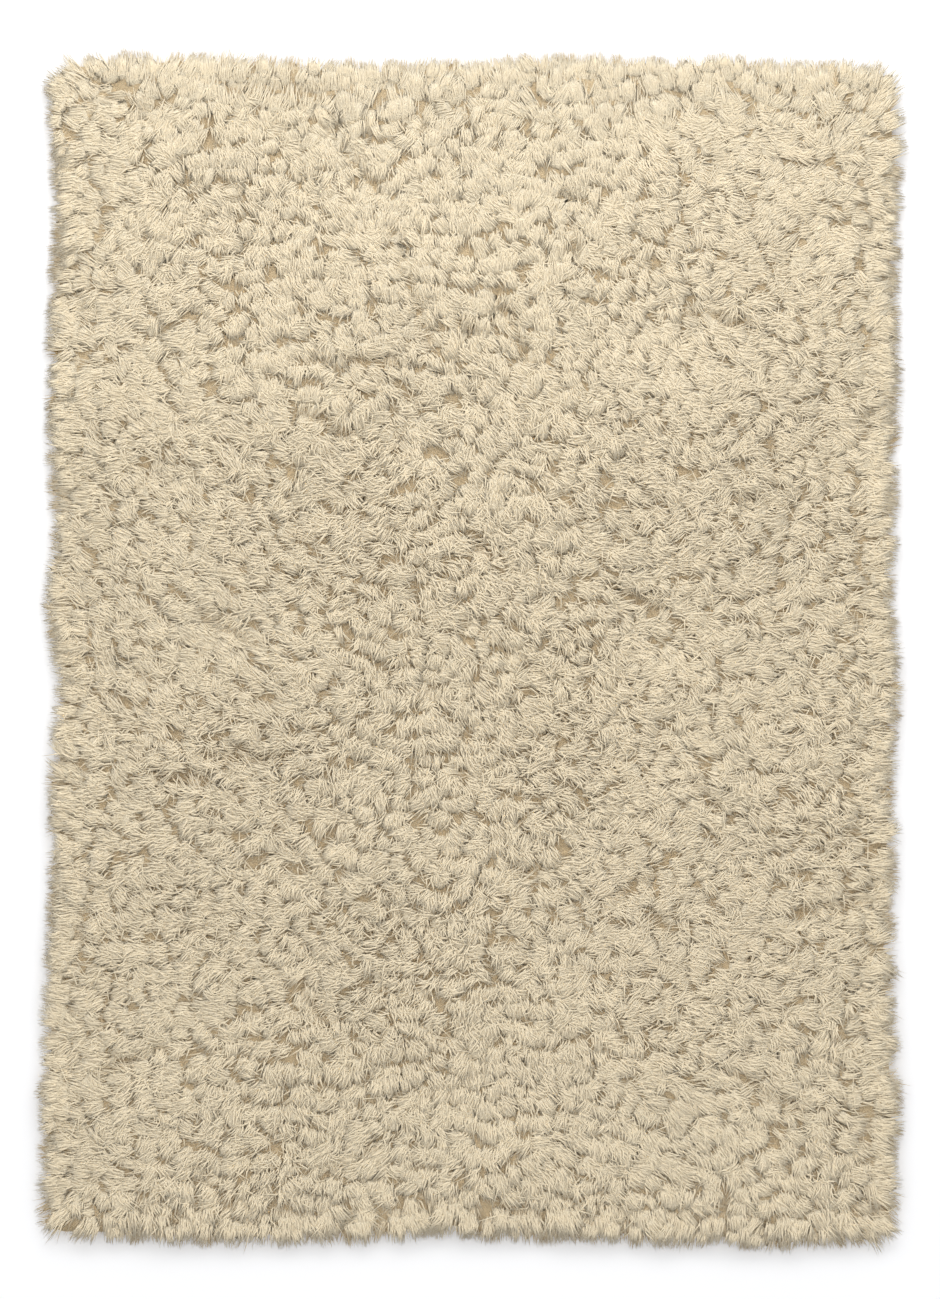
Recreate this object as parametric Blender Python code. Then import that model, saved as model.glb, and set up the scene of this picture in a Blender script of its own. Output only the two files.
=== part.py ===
"""Shag rug: a tufted rug lying flat, modelled as one lumpy slab with locks of pile at its rim.

The slab's top is a field of leaning tufts with partings between them, its underside is flat, and every
lock grows out of the slab's wall, tapers, droops and lies level on the floor.

Frame: metres, +Z up, origin under the middle of the rug. +X runs across the width, +Y along the length.
"""
import math
import random

import bmesh
import bpy
from mathutils import Vector, noise

# Driving dimensions, metres
HALF_WIDTH = 0.74             # middle of the rug to the side tips, nominal
HALF_LENGTH = 1.025           # middle of the rug to the end tips, nominal
LOCK_REACH = 0.046            # how far the rim locks stand out past their roots
ROOT_CORNER_RADIUS = 0.030    # corner of the slab that the locks grow from
TIP_CORNER_RADIUS = 0.038     # corner of the outline that their tips draw

PILE_HEIGHT = 0.047           # floor to the crest of a tuft
TUFT_RISE = 0.014             # valley to crest
RIM_HEIGHT = 0.031            # root height of the rim locks
RIM_CREST_HEIGHT = 0.0366     # height that the tufts' crests fall to at the rim
RIM_FALL_WIDTH = 0.085        # width of the band where the pile falls towards the rim
UNEVENNESS = 0.0035           # slow rise and fall of the pile from place to place
UNEVENNESS_SIZE = 0.16        # distance over which it rises and falls

TUFTS_ACROSS = 29
TUFTS_ALONG = 41
ROW_STAGGER = 0.5             # alternate rows of tufts are offset by this part of a tuft
ROW_DRIFT = 0.030             # how far a row of tufts winds from a straight line
ROW_DRIFT_SIZE = 0.22         # distance over which it winds
TUFT_SCATTER = 0.010          # how far a valley point strays from its row
RIM_ORDER_TUFTS = 2.0         # tufts in from the rim over which the rows settle into line with it
TUFT_LEAN = 0.012             # how far a crest leans out over its root, along the lie of the pile
TUFT_LEAN_LEAST = 0.5         # part of that by which the stiffest tuft leans
TUFT_HEIGHT_SPREAD = 0.0035

LOCK_SHORTFALL = 0.007        # the shortest lock falls this far short of the outline
LOCK_EXCESS = 0.004           # the longest lock passes the outline by this much
LOCK_STRAY = 0.002            # one lock strays sideways from the next
LOCK_SLANT = 0.0064           # how far the lie of the pile carries a lock's tip along the rim

# A lock's sections from root to tip: part of its length, part of its root width, height of its top.
LOCK_SECTIONS = (
    {"along": 0.52, "width": 0.86, "top": 0.024},
    {"along": 1.00, "width": 0.54, "top": 0.008},
)

# The uneven rim. Reach is the distance from the rug's middle line to the tips, by place along that line.
SIDE_COLUMNS = ("y", "left", "right")
SIDE_REACH = (
    (0.96, 0.729, 0.745), (0.89, 0.734, 0.750), (0.76, 0.717, 0.747), (0.62, 0.728, 0.741),
    (0.48, 0.729, 0.745), (0.34, 0.728, 0.740), (0.20, 0.721, 0.738), (0.07, 0.736, 0.733),
    (-0.07, 0.712, 0.747), (-0.21, 0.728, 0.733), (-0.35, 0.726, 0.740), (-0.48, 0.728, 0.733),
    (-0.62, 0.736, 0.738), (-0.76, 0.746, 0.745), (-0.90, 0.741, 0.743),
)
END_COLUMNS = ("x", "bottom", "top")
END_REACH = (
    (-0.66, 1.022, 1.023), (-0.56, 1.022, 1.030), (-0.43, 1.027, 1.028), (-0.27, 1.025, 1.016),
    (-0.12, 1.020, 1.013), (-0.06, 1.008, 1.016), (0.04, 1.018, 1.023), (0.19, 1.022, 1.025),
    (0.31, 1.027, 1.018), (0.42, 1.030, 1.025), (0.53, 1.035, 1.015), (0.64, 1.030, 1.012),
)

# The lie of the pile: the way the tips point, in degrees from +X towards +Y, at stations across the rug.
LIE_ACROSS = (-0.64, -0.48, -0.32, -0.16, 0.00, 0.16, 0.32, 0.48, 0.64)
LIE_HEADINGS = (
    {"y": 0.85, "heading": (188, 290, 300, 295, 272, 275, 315, 5, 20)},
    {"y": 0.68, "heading": (175, 230, 290, 305, 300, 278, 325, 15, 22)},
    {"y": 0.51, "heading": (150, 190, 280, 320, 300, 325, 340, 350, 8)},
    {"y": 0.34, "heading": (160, 155, 168, 200, 280, 310, 340, 5, 2)},
    {"y": 0.17, "heading": (145, 168, 180, 190, 315, 330, 350, 12, 0)},
    {"y": 0.00, "heading": (158, 163, 160, 265, 310, 325, 350, 0, 352)},
    {"y": -0.17, "heading": (155, 165, 178, 250, 300, 0, 340, 310, 350)},
    {"y": -0.34, "heading": (170, 205, 200, 215, 270, 340, 10, 350, 352)},
    {"y": -0.51, "heading": (176, 168, 185, 200, 220, 25, 20, 0, 5)},
    {"y": -0.68, "heading": (180, 195, 250, 260, 270, 285, 340, 350, 310)},
    {"y": -0.85, "heading": (205, 245, 240, 230, 272, 290, 318, 310, 285)},
)

# Partings, where the pile opens between tufts: from, to and depth.
PARTING_WIDTH = 0.020
PARTING_COLUMNS = ("x0", "y0", "x1", "y1", "depth")
PARTINGS = (
    (-0.41, 0.96, -0.24, 0.95, 0.014),
    (-0.25, 0.90, -0.16, 0.79, 0.012),
    (-0.13, 0.71, -0.07, 0.53, 0.010),
    (-0.65, 0.97, -0.55, 0.91, 0.012),
    (-0.43, 0.81, -0.40, 0.78, 0.012),
    (0.16, 0.79, 0.18, 0.69, 0.012),
    (0.05, 0.60, 0.10, 0.50, 0.014),
    (-0.02, 0.56, 0.02, 0.55, 0.014),
    (-0.28, 0.41, -0.21, 0.37, 0.014),
    (-0.30, 0.50, -0.13, 0.49, 0.010),
    (-0.01, 0.05, 0.12, -0.04, 0.010),
    (0.01, 0.18, 0.07, 0.14, 0.012),
    (-0.46, -0.18, -0.32, -0.19, 0.014),
    (-0.53, -0.22, -0.45, -0.22, 0.012),
    (-0.70, 0.00, -0.55, -0.05, 0.009),
    (-0.46, 0.06, -0.36, 0.01, 0.012),
    (-0.26, 0.11, -0.20, 0.07, 0.010),
    (-0.62, -0.72, -0.52, -0.68, 0.012),
    (-0.25, -0.90, -0.16, -0.85, 0.010),
    (0.23, -0.44, 0.32, -0.38, 0.012),
    (0.56, -0.45, 0.69, -0.43, 0.012),
    (0.44, -0.72, 0.56, -0.79, 0.012),
    (0.31, -0.46, 0.35, -0.48, 0.014),
    (0.38, -0.22, 0.42, -0.27, 0.010),
    (-0.29, -0.58, -0.25, -0.63, 0.012),
    (-0.46, -0.89, -0.42, -0.94, 0.010),
    (0.37, 0.58, 0.47, 0.56, 0.014),
    (0.46, 0.26, 0.56, 0.24, 0.010),
    (0.27, 0.09, 0.32, 0.07, 0.014),
)

PILE_COLOUR = (0.62, 0.52, 0.36, 1.0)
SEED = 14


def clear_objects():
    """Start from a scene with nothing in it."""
    for old in list(bpy.data.objects):
        bpy.data.objects.remove(old, do_unlink=True)


def between(rows, column, at):
    """Read a table whose first column is a place: the value there, straight between the nearest rows."""
    rows = sorted(rows)
    if at <= rows[0][0]:
        return rows[0][column]
    for low, high in zip(rows, rows[1:]):
        if at <= high[0]:
            part = (at - low[0]) / (high[0] - low[0])
            return low[column] + part * (high[column] - low[column])
    return rows[-1][column]


def place_in_outline(u, v, inset, corner_radius):
    """Map a point of the square -1..1 to the rug: scale it to the uneven rim, then round the corners.

    In a corner's square of side corner_radius, a point (a, b) of 0..1 goes to
    (a * sqrt(1 - b*b/2), b * sqrt(1 - a*a/2)), which bends the square's two outer sides into one arc.
    """
    side_column = SIDE_COLUMNS.index("right" if u > 0 else "left")
    end_column = END_COLUMNS.index("top" if v > 0 else "bottom")
    half_x = between(SIDE_REACH, side_column, v * HALF_LENGTH) - inset
    half_y = between(END_REACH, end_column, u * HALF_WIDTH) - inset
    x = abs(u) * half_x
    y = abs(v) * half_y
    corner_x = half_x - corner_radius
    corner_y = half_y - corner_radius
    if x > corner_x and y > corner_y:
        a = (x - corner_x) / corner_radius
        b = (y - corner_y) / corner_radius
        x = corner_x + corner_radius * a * math.sqrt(1.0 - 0.5 * b * b)
        y = corner_y + corner_radius * b * math.sqrt(1.0 - 0.5 * a * a)
    return Vector((math.copysign(x, u), math.copysign(y, v)))


def lie_of_pile(x, y):
    """Unit vector along which the tips point at (x, y), blended between the four nearest stations."""
    stations = sorted(LIE_HEADINGS, key=lambda row: row["y"])
    step_x = LIE_ACROSS[1] - LIE_ACROSS[0]
    step_y = stations[1]["y"] - stations[0]["y"]
    column = (x - LIE_ACROSS[0]) / step_x
    row = (y - stations[0]["y"]) / step_y
    column = min(max(column, 0.0), len(LIE_ACROSS) - 1.001)
    row = min(max(row, 0.0), len(stations) - 1.001)
    lie = Vector((0.0, 0.0))
    for row_step in (0, 1):
        for column_step in (0, 1):
            r = int(row) + row_step
            c = int(column) + column_step
            heading = math.radians(stations[r]["heading"][c])
            weight = (1.0 - abs(row - r)) * (1.0 - abs(column - c))
            lie += weight * Vector((math.cos(heading), math.sin(heading)))
    return lie.normalized() if lie.length > 1e-6 else Vector((1.0, 0.0))


def parting_depth(x, y):
    """How far the partings lower the pile at (x, y): each is a groove with a bell-shaped section."""
    here = Vector((x, y))
    depth = 0.0
    for row in PARTINGS:
        parting = dict(zip(PARTING_COLUMNS, row))
        start = Vector((parting["x0"], parting["y0"]))
        run = Vector((parting["x1"], parting["y1"])) - start
        along = min(max((here - start).dot(run) / run.length_squared, 0.0), 1.0)
        away = (here - start - along * run).length
        depth = max(depth, parting["depth"] * math.exp(-(away / PARTING_WIDTH) ** 2))
    return depth


def crest_height(x, y, rim_distance):
    """Height of a tuft's crest: the pile's height, slowly uneven, lower in partings and towards the rim."""
    waves = noise.noise(Vector((x, y, 0.0)) / UNEVENNESS_SIZE) * UNEVENNESS
    inside = min(max(rim_distance / RIM_FALL_WIDTH, 0.0), 1.0)
    rounded = math.sqrt(1.0 - (1.0 - inside) ** 2)
    height = RIM_CREST_HEIGHT + (PILE_HEIGHT - RIM_CREST_HEIGHT) * rounded
    return height + waves - parting_depth(x, y)


def slab_plan(mesh, chance):
    """Lay the valley points out: staggered, winding rows inside, the rim's outline at the edge."""
    bmesh.ops.create_grid(mesh, x_segments=TUFTS_ACROSS, y_segments=TUFTS_ALONG, size=1.0)
    rim = [edge for edge in mesh.edges if edge.is_boundary]
    bmesh.ops.bisect_edges(mesh, edges=rim, cuts=1)
    pitch = 2.0 * (HALF_WIDTH - LOCK_REACH) / TUFTS_ACROSS
    for vert in sorted(mesh.verts, key=lambda v: (round(v.co.y, 5), round(v.co.x, 5))):
        u, v = vert.co.x, vert.co.y
        spot = place_in_outline(u, v, LOCK_REACH, ROOT_CORNER_RADIUS)
        stray = Vector((chance.uniform(-1, 1), chance.uniform(-1, 1))) * TUFT_SCATTER
        if vert.is_boundary:
            height = RIM_HEIGHT
        else:
            free = min(distance_to_rim(spot) / (RIM_ORDER_TUFTS * pitch), 1.0)
            side = 1.0 if round((v + 1.0) * TUFTS_ALONG / 2) % 2 else -1.0
            stray.x += side * ROW_STAGGER * pitch / 2
            stray.x += ROW_DRIFT * noise.noise(Vector((spot.x, spot.y, 1.0)) / ROW_DRIFT_SIZE)
            stray.y += ROW_DRIFT * noise.noise(Vector((spot.x, spot.y, 2.0)) / ROW_DRIFT_SIZE)
            spot += stray * free
            height = crest_height(spot.x, spot.y, distance_to_rim(spot)) - TUFT_RISE
        vert.co = (spot.x, spot.y, height)
    return list(mesh.faces)


def distance_to_rim(spot):
    """Distance from a point on the slab to its nearest side, with the rim's unevenness left out."""
    return min(HALF_WIDTH - LOCK_REACH - abs(spot.x), HALF_LENGTH - LOCK_REACH - abs(spot.y))


def raise_tufts(mesh, top_faces, chance):
    """Poke each cell of the top into a tuft: a crest that leans along the lie of the pile."""
    crests = bmesh.ops.poke(mesh, faces=top_faces)["verts"]
    for crest in sorted(crests, key=lambda v: (round(v.co.y, 5), round(v.co.x, 5))):
        x, y = crest.co.x, crest.co.y
        lean = lie_of_pile(x, y) * TUFT_LEAN * chance.uniform(TUFT_LEAN_LEAST, 1.0)
        crest.co.x = x + lean.x
        crest.co.y = y + lean.y
        height = crest_height(x, y, distance_to_rim(crest.co))
        crest.co.z = height + chance.uniform(-1, 1) * TUFT_HEIGHT_SPREAD


def drop_wall(mesh):
    """Drop the slab's wall to the floor, close the flat underside and give back the wall's faces."""
    rim = [edge for edge in mesh.edges if edge.is_boundary]
    dropped = bmesh.ops.extrude_edge_only(mesh, edges=rim)["geom"]
    floor_edges = [item for item in dropped if isinstance(item, bmesh.types.BMEdge) and item.is_boundary]
    wall_faces = [item for item in dropped if isinstance(item, bmesh.types.BMFace)]
    for item in dropped:
        if isinstance(item, bmesh.types.BMVert):
            item.co.z = 0.0
    bmesh.ops.edgeloop_fill(mesh, edges=floor_edges)
    return wall_faces


def lock_tip(root, chance):
    """Where a lock's tip lands: outward to the rim's outline, carried along it by the lie of the pile."""
    u = root.x / (HALF_WIDTH - LOCK_REACH)
    v = root.y / (HALF_LENGTH - LOCK_REACH)
    largest = max(abs(u), abs(v))
    tip = place_in_outline(u / largest, v / largest, 0.0, TIP_CORNER_RADIUS)
    outward = (tip - root).normalized()
    sideways = Vector((-outward.y, outward.x))
    drift = lie_of_pile(root.x, root.y).dot(sideways) * LOCK_SLANT
    tip += outward * chance.uniform(-LOCK_SHORTFALL, LOCK_EXCESS)
    tip += sideways * (drift + chance.uniform(-1, 1) * LOCK_STRAY)
    return tip


def turn_around_middle(face):
    """Angle of a face around the middle of the rug."""
    middle = face.calc_center_median()
    return math.atan2(middle.y, middle.x)


def grow_locks(mesh, wall_faces, chance):
    """Extrude each face of the wall outward through a lock's sections, tapering and lying on the floor."""
    for face in sorted(wall_faces, key=turn_around_middle):
        corners = [vert.co.copy() for vert in face.verts]
        root = sum((corner.xy for corner in corners), Vector((0.0, 0.0))) / len(corners)
        reach = lock_tip(root, chance) - root
        for section in LOCK_SECTIONS:
            face = bmesh.ops.extrude_discrete_faces(mesh, faces=[face])["faces"][0]
            for vert, corner in zip(face.verts, corners):
                spread = (corner.xy - root) * section["width"]
                spot = root + reach * section["along"] + spread
                vert.co = (spot.x, spot.y, section["top"] if corner.z > 0.0 else 0.0)


def centre_on_floor(mesh):
    """Move the rug so that the middle of its box is over the origin."""
    xs = [vert.co.x for vert in mesh.verts]
    ys = [vert.co.y for vert in mesh.verts]
    shift = Vector((-(min(xs) + max(xs)) / 2, -(min(ys) + max(ys)) / 2, 0.0))
    bmesh.ops.translate(mesh, verts=mesh.verts, vec=shift)


def pile_material():
    """Cream cut pile, matt."""
    material = bpy.data.materials.new("cream_pile")
    material.use_nodes = True
    shader = material.node_tree.nodes["Principled BSDF"]
    shader.inputs["Base Color"].default_value = PILE_COLOUR
    shader.inputs["Roughness"].default_value = 0.95
    shader.inputs["Metallic"].default_value = 0.0
    return material


def build_rug():
    """Make the rug's one solid."""
    chance = random.Random(SEED)
    mesh = bmesh.new()
    top_faces = slab_plan(mesh, chance)
    raise_tufts(mesh, top_faces, chance)
    wall_faces = drop_wall(mesh)
    grow_locks(mesh, wall_faces, chance)
    centre_on_floor(mesh)
    bmesh.ops.triangulate(mesh, faces=mesh.faces)
    bmesh.ops.recalc_face_normals(mesh, faces=mesh.faces)
    data = bpy.data.meshes.new("shag_rug")
    mesh.to_mesh(data)
    mesh.free()
    data.materials.append(pile_material())
    rug = bpy.data.objects.new("shag_rug", data)
    bpy.context.scene.collection.objects.link(rug)
    return rug


clear_objects()
build_rug()
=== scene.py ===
"""Looks of the shag rug: a woven backing under a bed of packed yarn, a mat of yarn that fills the pile, and
the pile's locks, each of loose strands over a soft core.

The locks lean as the pile lies in the photograph and fall over the rug's four sides. Metres, +Z up, +Y along
the rug's length. The nominal size and the rim, lie and partings are those of the solid.
"""

import bpy
import numpy as np
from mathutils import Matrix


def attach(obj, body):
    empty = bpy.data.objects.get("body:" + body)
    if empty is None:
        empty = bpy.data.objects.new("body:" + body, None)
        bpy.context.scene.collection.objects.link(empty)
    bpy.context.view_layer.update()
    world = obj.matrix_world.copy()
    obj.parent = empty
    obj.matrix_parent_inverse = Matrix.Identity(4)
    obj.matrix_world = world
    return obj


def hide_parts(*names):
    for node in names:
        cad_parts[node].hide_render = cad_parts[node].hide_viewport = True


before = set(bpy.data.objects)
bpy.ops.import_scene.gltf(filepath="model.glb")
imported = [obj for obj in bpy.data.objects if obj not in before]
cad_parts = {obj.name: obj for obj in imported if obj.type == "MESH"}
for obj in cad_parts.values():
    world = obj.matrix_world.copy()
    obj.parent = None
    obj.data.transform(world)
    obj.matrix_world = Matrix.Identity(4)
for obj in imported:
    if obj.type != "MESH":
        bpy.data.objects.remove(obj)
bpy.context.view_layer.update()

# ---------------------------------------------------------------------------------------------------
# Sizes, metres
# ---------------------------------------------------------------------------------------------------
HALF_WIDTH = 0.74             # middle of the rug to the side tips, nominal
HALF_LENGTH = 1.025           # middle of the rug to the end tips, nominal
CORNER_RADIUS = 0.046         # corner of the outline that the tips draw
BACKING_INSET = 0.046         # the backing stops this far inside the outline
BACKING_CORNER_RADIUS = 0.030
THREAD_PITCH = 0.004          # from one thread of the backing's weave to the next

PILE_HEIGHT = 0.044           # floor to the top of the leaning pile
RIM_TIP_HEIGHT = 0.022        # height of the pile at the outline
RIM_FALL_WIDTH = 0.075        # the pile falls over this distance to the outline
SWELL_RISE = 0.0050           # rise and fall of the pile over some tufts
SWELL_SIZE = 0.048            # distance over which it rises and falls
PARTING_WIDTH = 0.013         # a parting is about a third as deep this far from its line
PARTING_CUT = 1.4             # the strands part this many times deeper than the solid's top

ROOT_HEIGHT = 0.005           # the strands come out of the backing here
BED_HEIGHT = 0.017            # packed yarn between the roots
BED_LUMP = 0.003              # rise and fall of the bed
BED_EDGE_FALL = 0.006         # the bed is this much thinner at its edge
BED_EDGE_WIDTH = 0.03         # and thins over this distance
MAT_DEPTH = 0.0036            # the mat lies about this far under the middle height of the strands
MAT_PART = 0.58               # part of the pile's height that it keeps where there are hardly any strands
MAT_INSET = 0.024             # the mat stops this far inside the outline
SHEET_BACK = 0.0004           # height of the backing's underside
MAT_BACK = 0.0012             # height of the mat's underside
BED_CELLS = (30, 42)          # squares across and along the bed
MAT_CELLS = (124, 172)        # and across and along the mat

LOCK_PITCH = 0.0238           # from one lock's root to the next
ROW_PITCH = 0.034             # in places the locks stand in rows this far apart
LOCK_REACH = 0.048            # how far a lock leans, seen from above
LOCK_HALF_WIDTH = 0.0118      # strands start within this distance to each side of a lock's middle line
LOCK_HALF_DEPTH = 0.0085      # and within this distance before and behind it
RIM_LOCK_PITCH = 0.0190       # the rim has more locks, closer and narrower
RIM_LOCK_HALF_WIDTH = 0.0105
ROOT_SHAKE = 0.34             # part of the pitch by which a root strays from its row
LOCK_CREST = 0.42             # part of its length at which a lock stands highest
LOCK_DROOP = 0.13             # part of the pile's height by which its tip droops
LOCK_CROWN = 0.11             # part of its height by which a lock is lower at its sides
LOCK_LEVEL = 0.94             # part of the pile's height that most locks stand to
LOCK_BEND = 18                # degrees, spread of the locks' bends to either side
LOCK_FAN = 5                  # degrees by which a lock's outer strands splay
LOCK_FAN_SPREAD = 9           # degrees, spread of that from lock to lock
CLUMP_TURN = 28               # degrees by which clumps of locks turn out of the pile's lie, at most
LOCK_TURN = 11                # degrees, spread of that from lock to lock
LIE_CLUMP_SIZE = 0.045        # size of the clumps that take the same lie

# Stations are parts of a lock's length, from its root to its tip.
STRANDS_IN_LOCK = 18
BUNCHES_IN_LOCK = 5           # the strands draw together into about this many bunches at their tips
STRAND_STATIONS = (0.04, LOCK_CREST, 1.0)
STRAND_WIDTH = 0.0029
STRAND_THICKNESS = 0.0015
STRAY_SHARE = 0.12            # part of the strands that stray
STRAY_TURN = 13               # degrees by which a stray strand turns aside
STRAY_CURL = 40               # degrees by which it bends
LOWEST_STRAND = 0.0014        # no strand's middle comes nearer to the floor
LOWEST_FACE = 0.0004          # and no face of one
CORE_STATIONS = (0.04, 0.36, 0.74, 0.96)
CORE_WIDTHS = (0.92, 0.82)    # of the lock's width, at the two stations between the ends
CORE_DEPTH = 0.0015           # the core's crown lies this far under the strands
CORE_THICKNESS = 0.004        # from a core's upper face down to the point under it

# This mark says how far the yarn stands up out of the pile; the lower it lies, the darker and browner
# the painted shade in its colour.
RISEN_SPAN = 0.020            # height over which the mark goes from 0 to 1
# The mat and the bed take part of the painted shade through their mark; the cores' mark is lifted, so they
# take a little less.
SHEET_RISEN = 0.30            # mark of the matted yarn on the mat and the bed
CORE_RISEN = 0.08             # added to a core's mark

# Distance of the outline from the rug's middle line. Each row is a place along the line and the distance
# towards the low side, which is -X or -Y, and towards the high side.
SIDE_REACH = (
    (0.96, 0.729, 0.745), (0.89, 0.734, 0.750), (0.76, 0.717, 0.747), (0.62, 0.728, 0.741),
    (0.48, 0.729, 0.745), (0.34, 0.728, 0.740), (0.20, 0.721, 0.738), (0.07, 0.736, 0.733),
    (-0.07, 0.712, 0.747), (-0.21, 0.728, 0.733), (-0.35, 0.726, 0.740), (-0.48, 0.728, 0.733),
    (-0.62, 0.736, 0.738), (-0.76, 0.746, 0.745), (-0.90, 0.741, 0.743),
)
END_REACH = (
    (-0.66, 1.022, 1.023), (-0.56, 1.022, 1.030), (-0.43, 1.027, 1.028), (-0.27, 1.025, 1.016),
    (-0.12, 1.020, 1.013), (-0.06, 1.008, 1.016), (0.04, 1.018, 1.023), (0.19, 1.022, 1.025),
    (0.31, 1.027, 1.018), (0.42, 1.030, 1.025), (0.53, 1.035, 1.015), (0.64, 1.030, 1.012),
)

# Where the tips point, in degrees: 0 is +X and 90 is +Y. Each row runs across the rug at its y.
LIE_ACROSS = (-0.64, -0.48, -0.32, -0.16, 0.00, 0.16, 0.32, 0.48, 0.64)
LIE_HEADINGS = (
    {"y": 0.85, "heading": (188, 290, 300, 295, 272, 275, 315, 5, 20)},
    {"y": 0.68, "heading": (175, 230, 290, 305, 300, 278, 325, 15, 22)},
    {"y": 0.51, "heading": (150, 190, 280, 320, 300, 325, 340, 350, 8)},
    {"y": 0.34, "heading": (160, 155, 168, 200, 280, 310, 340, 5, 2)},
    {"y": 0.17, "heading": (145, 168, 180, 190, 315, 330, 350, 12, 0)},
    {"y": 0.00, "heading": (158, 163, 160, 265, 310, 325, 350, 0, 352)},
    {"y": -0.17, "heading": (155, 165, 178, 250, 300, 0, 340, 310, 350)},
    {"y": -0.34, "heading": (170, 205, 200, 215, 270, 340, 10, 350, 352)},
    {"y": -0.51, "heading": (176, 168, 185, 200, 220, 25, 20, 0, 5)},
    {"y": -0.68, "heading": (180, 195, 250, 260, 270, 285, 340, 350, 310)},
    {"y": -0.85, "heading": (205, 245, 240, 230, 272, 290, 318, 310, 285)},
)

PARTING_COLUMNS = ("x0", "y0", "x1", "y1", "depth")
PARTINGS = (
    (-0.41, 0.96, -0.24, 0.95, 0.014),
    (-0.25, 0.90, -0.16, 0.79, 0.012),
    (-0.13, 0.71, -0.07, 0.53, 0.010),
    (-0.65, 0.97, -0.55, 0.91, 0.012),
    (-0.43, 0.81, -0.40, 0.78, 0.012),
    (0.16, 0.79, 0.18, 0.69, 0.012),
    (0.05, 0.60, 0.10, 0.50, 0.014),
    (-0.02, 0.56, 0.02, 0.55, 0.014),
    (-0.28, 0.41, -0.21, 0.37, 0.014),
    (-0.30, 0.50, -0.13, 0.49, 0.010),
    (-0.01, 0.05, 0.12, -0.04, 0.010),
    (0.01, 0.18, 0.07, 0.14, 0.012),
    (-0.46, -0.18, -0.32, -0.19, 0.014),
    (-0.53, -0.22, -0.45, -0.22, 0.012),
    (-0.70, 0.00, -0.55, -0.05, 0.009),
    (-0.46, 0.06, -0.36, 0.01, 0.012),
    (-0.26, 0.11, -0.20, 0.07, 0.010),
    (-0.62, -0.72, -0.52, -0.68, 0.012),
    (-0.25, -0.90, -0.16, -0.85, 0.010),
    (0.23, -0.44, 0.32, -0.38, 0.012),
    (0.56, -0.45, 0.69, -0.43, 0.012),
    (0.44, -0.72, 0.56, -0.79, 0.012),
    (0.31, -0.46, 0.35, -0.48, 0.014),
    (0.38, -0.22, 0.42, -0.27, 0.010),
    (-0.29, -0.58, -0.25, -0.63, 0.012),
    (-0.46, -0.89, -0.42, -0.94, 0.010),
    (0.37, 0.58, 0.47, 0.56, 0.014),
    (0.46, 0.26, 0.56, 0.24, 0.010),
    (0.27, 0.09, 0.32, 0.07, 0.014),
)


# ---------------------------------------------------------------------------------------------------
# Fields over the rug: each takes arrays of x and y and gives an array
# ---------------------------------------------------------------------------------------------------
NOISE_CELLS = 97              # the noise repeats after this many of its sizes


def soft_noise(x, y, size, seed):
    """Smooth random field from -1 to 1: random values on a square lattice, blended with 3f^2 - 2f^3."""
    lattice = np.random.default_rng(seed).uniform(-1.0, 1.0, (NOISE_CELLS, NOISE_CELLS))
    column, row = x / size, y / size
    c, r = np.floor(column).astype(int), np.floor(row).astype(int)
    f, g = column - c, row - r
    f, g = f * f * (3 - 2 * f), g * g * (3 - 2 * g)
    c0, c1, r0, r1 = c % NOISE_CELLS, (c + 1) % NOISE_CELLS, r % NOISE_CELLS, (r + 1) % NOISE_CELLS
    low = lattice[r0, c0] * (1 - f) + lattice[r0, c1] * f
    high = lattice[r1, c0] * (1 - f) + lattice[r1, c1] * f
    return low * (1 - g) + high * g


def reach_of(table, along, towards_high):
    """The outline's distance from the rug's middle line, straight from each row of a table to the next."""
    rows = np.array(sorted(table))
    low = np.interp(along, rows[:, 0], rows[:, 1])
    high = np.interp(along, rows[:, 0], rows[:, 2])
    return np.where(towards_high, high, low)


def depth_inside(x, y, inset=0.0, radius=CORNER_RADIUS):
    """Distance from (x, y) to the outline, positive inside: a rectangle of uneven sides, corners rounded."""
    side = np.abs(x) - (reach_of(SIDE_REACH, y, x > 0) - inset - radius)
    end = np.abs(y) - (reach_of(END_REACH, x, y > 0) - inset - radius)
    corner = np.hypot(np.maximum(side, 0.0), np.maximum(end, 0.0))
    return radius - corner - np.minimum(np.maximum(side, end), 0.0)


def outward(x, y):
    """Unit vectors that point out of the rug, the slope of depth_inside turned round, with wide corners."""
    step, wide = 0.004, 0.14
    slope_x = depth_inside(x + step, y, 0.0, wide) - depth_inside(x - step, y, 0.0, wide)
    slope_y = depth_inside(x, y + step, 0.0, wide) - depth_inside(x, y - step, 0.0, wide)
    length = np.hypot(slope_x, slope_y) + 1e-9
    return -slope_x / length, -slope_y / length


def way_to_outline(x, y, heading):
    """Distance along each heading to the outline, looked for in 3 mm steps up to 120 mm."""
    step = np.linspace(0.0, 0.120, 41)[None, :]
    ahead_x = x[:, None] + step * np.cos(heading)[:, None]
    ahead_y = y[:, None] + step * np.sin(heading)[:, None]
    beyond = depth_inside(ahead_x, ahead_y) < 0.0
    first = np.where(beyond.any(axis=1), beyond.argmax(axis=1), step.shape[1] - 1)
    return step[0, first]


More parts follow.
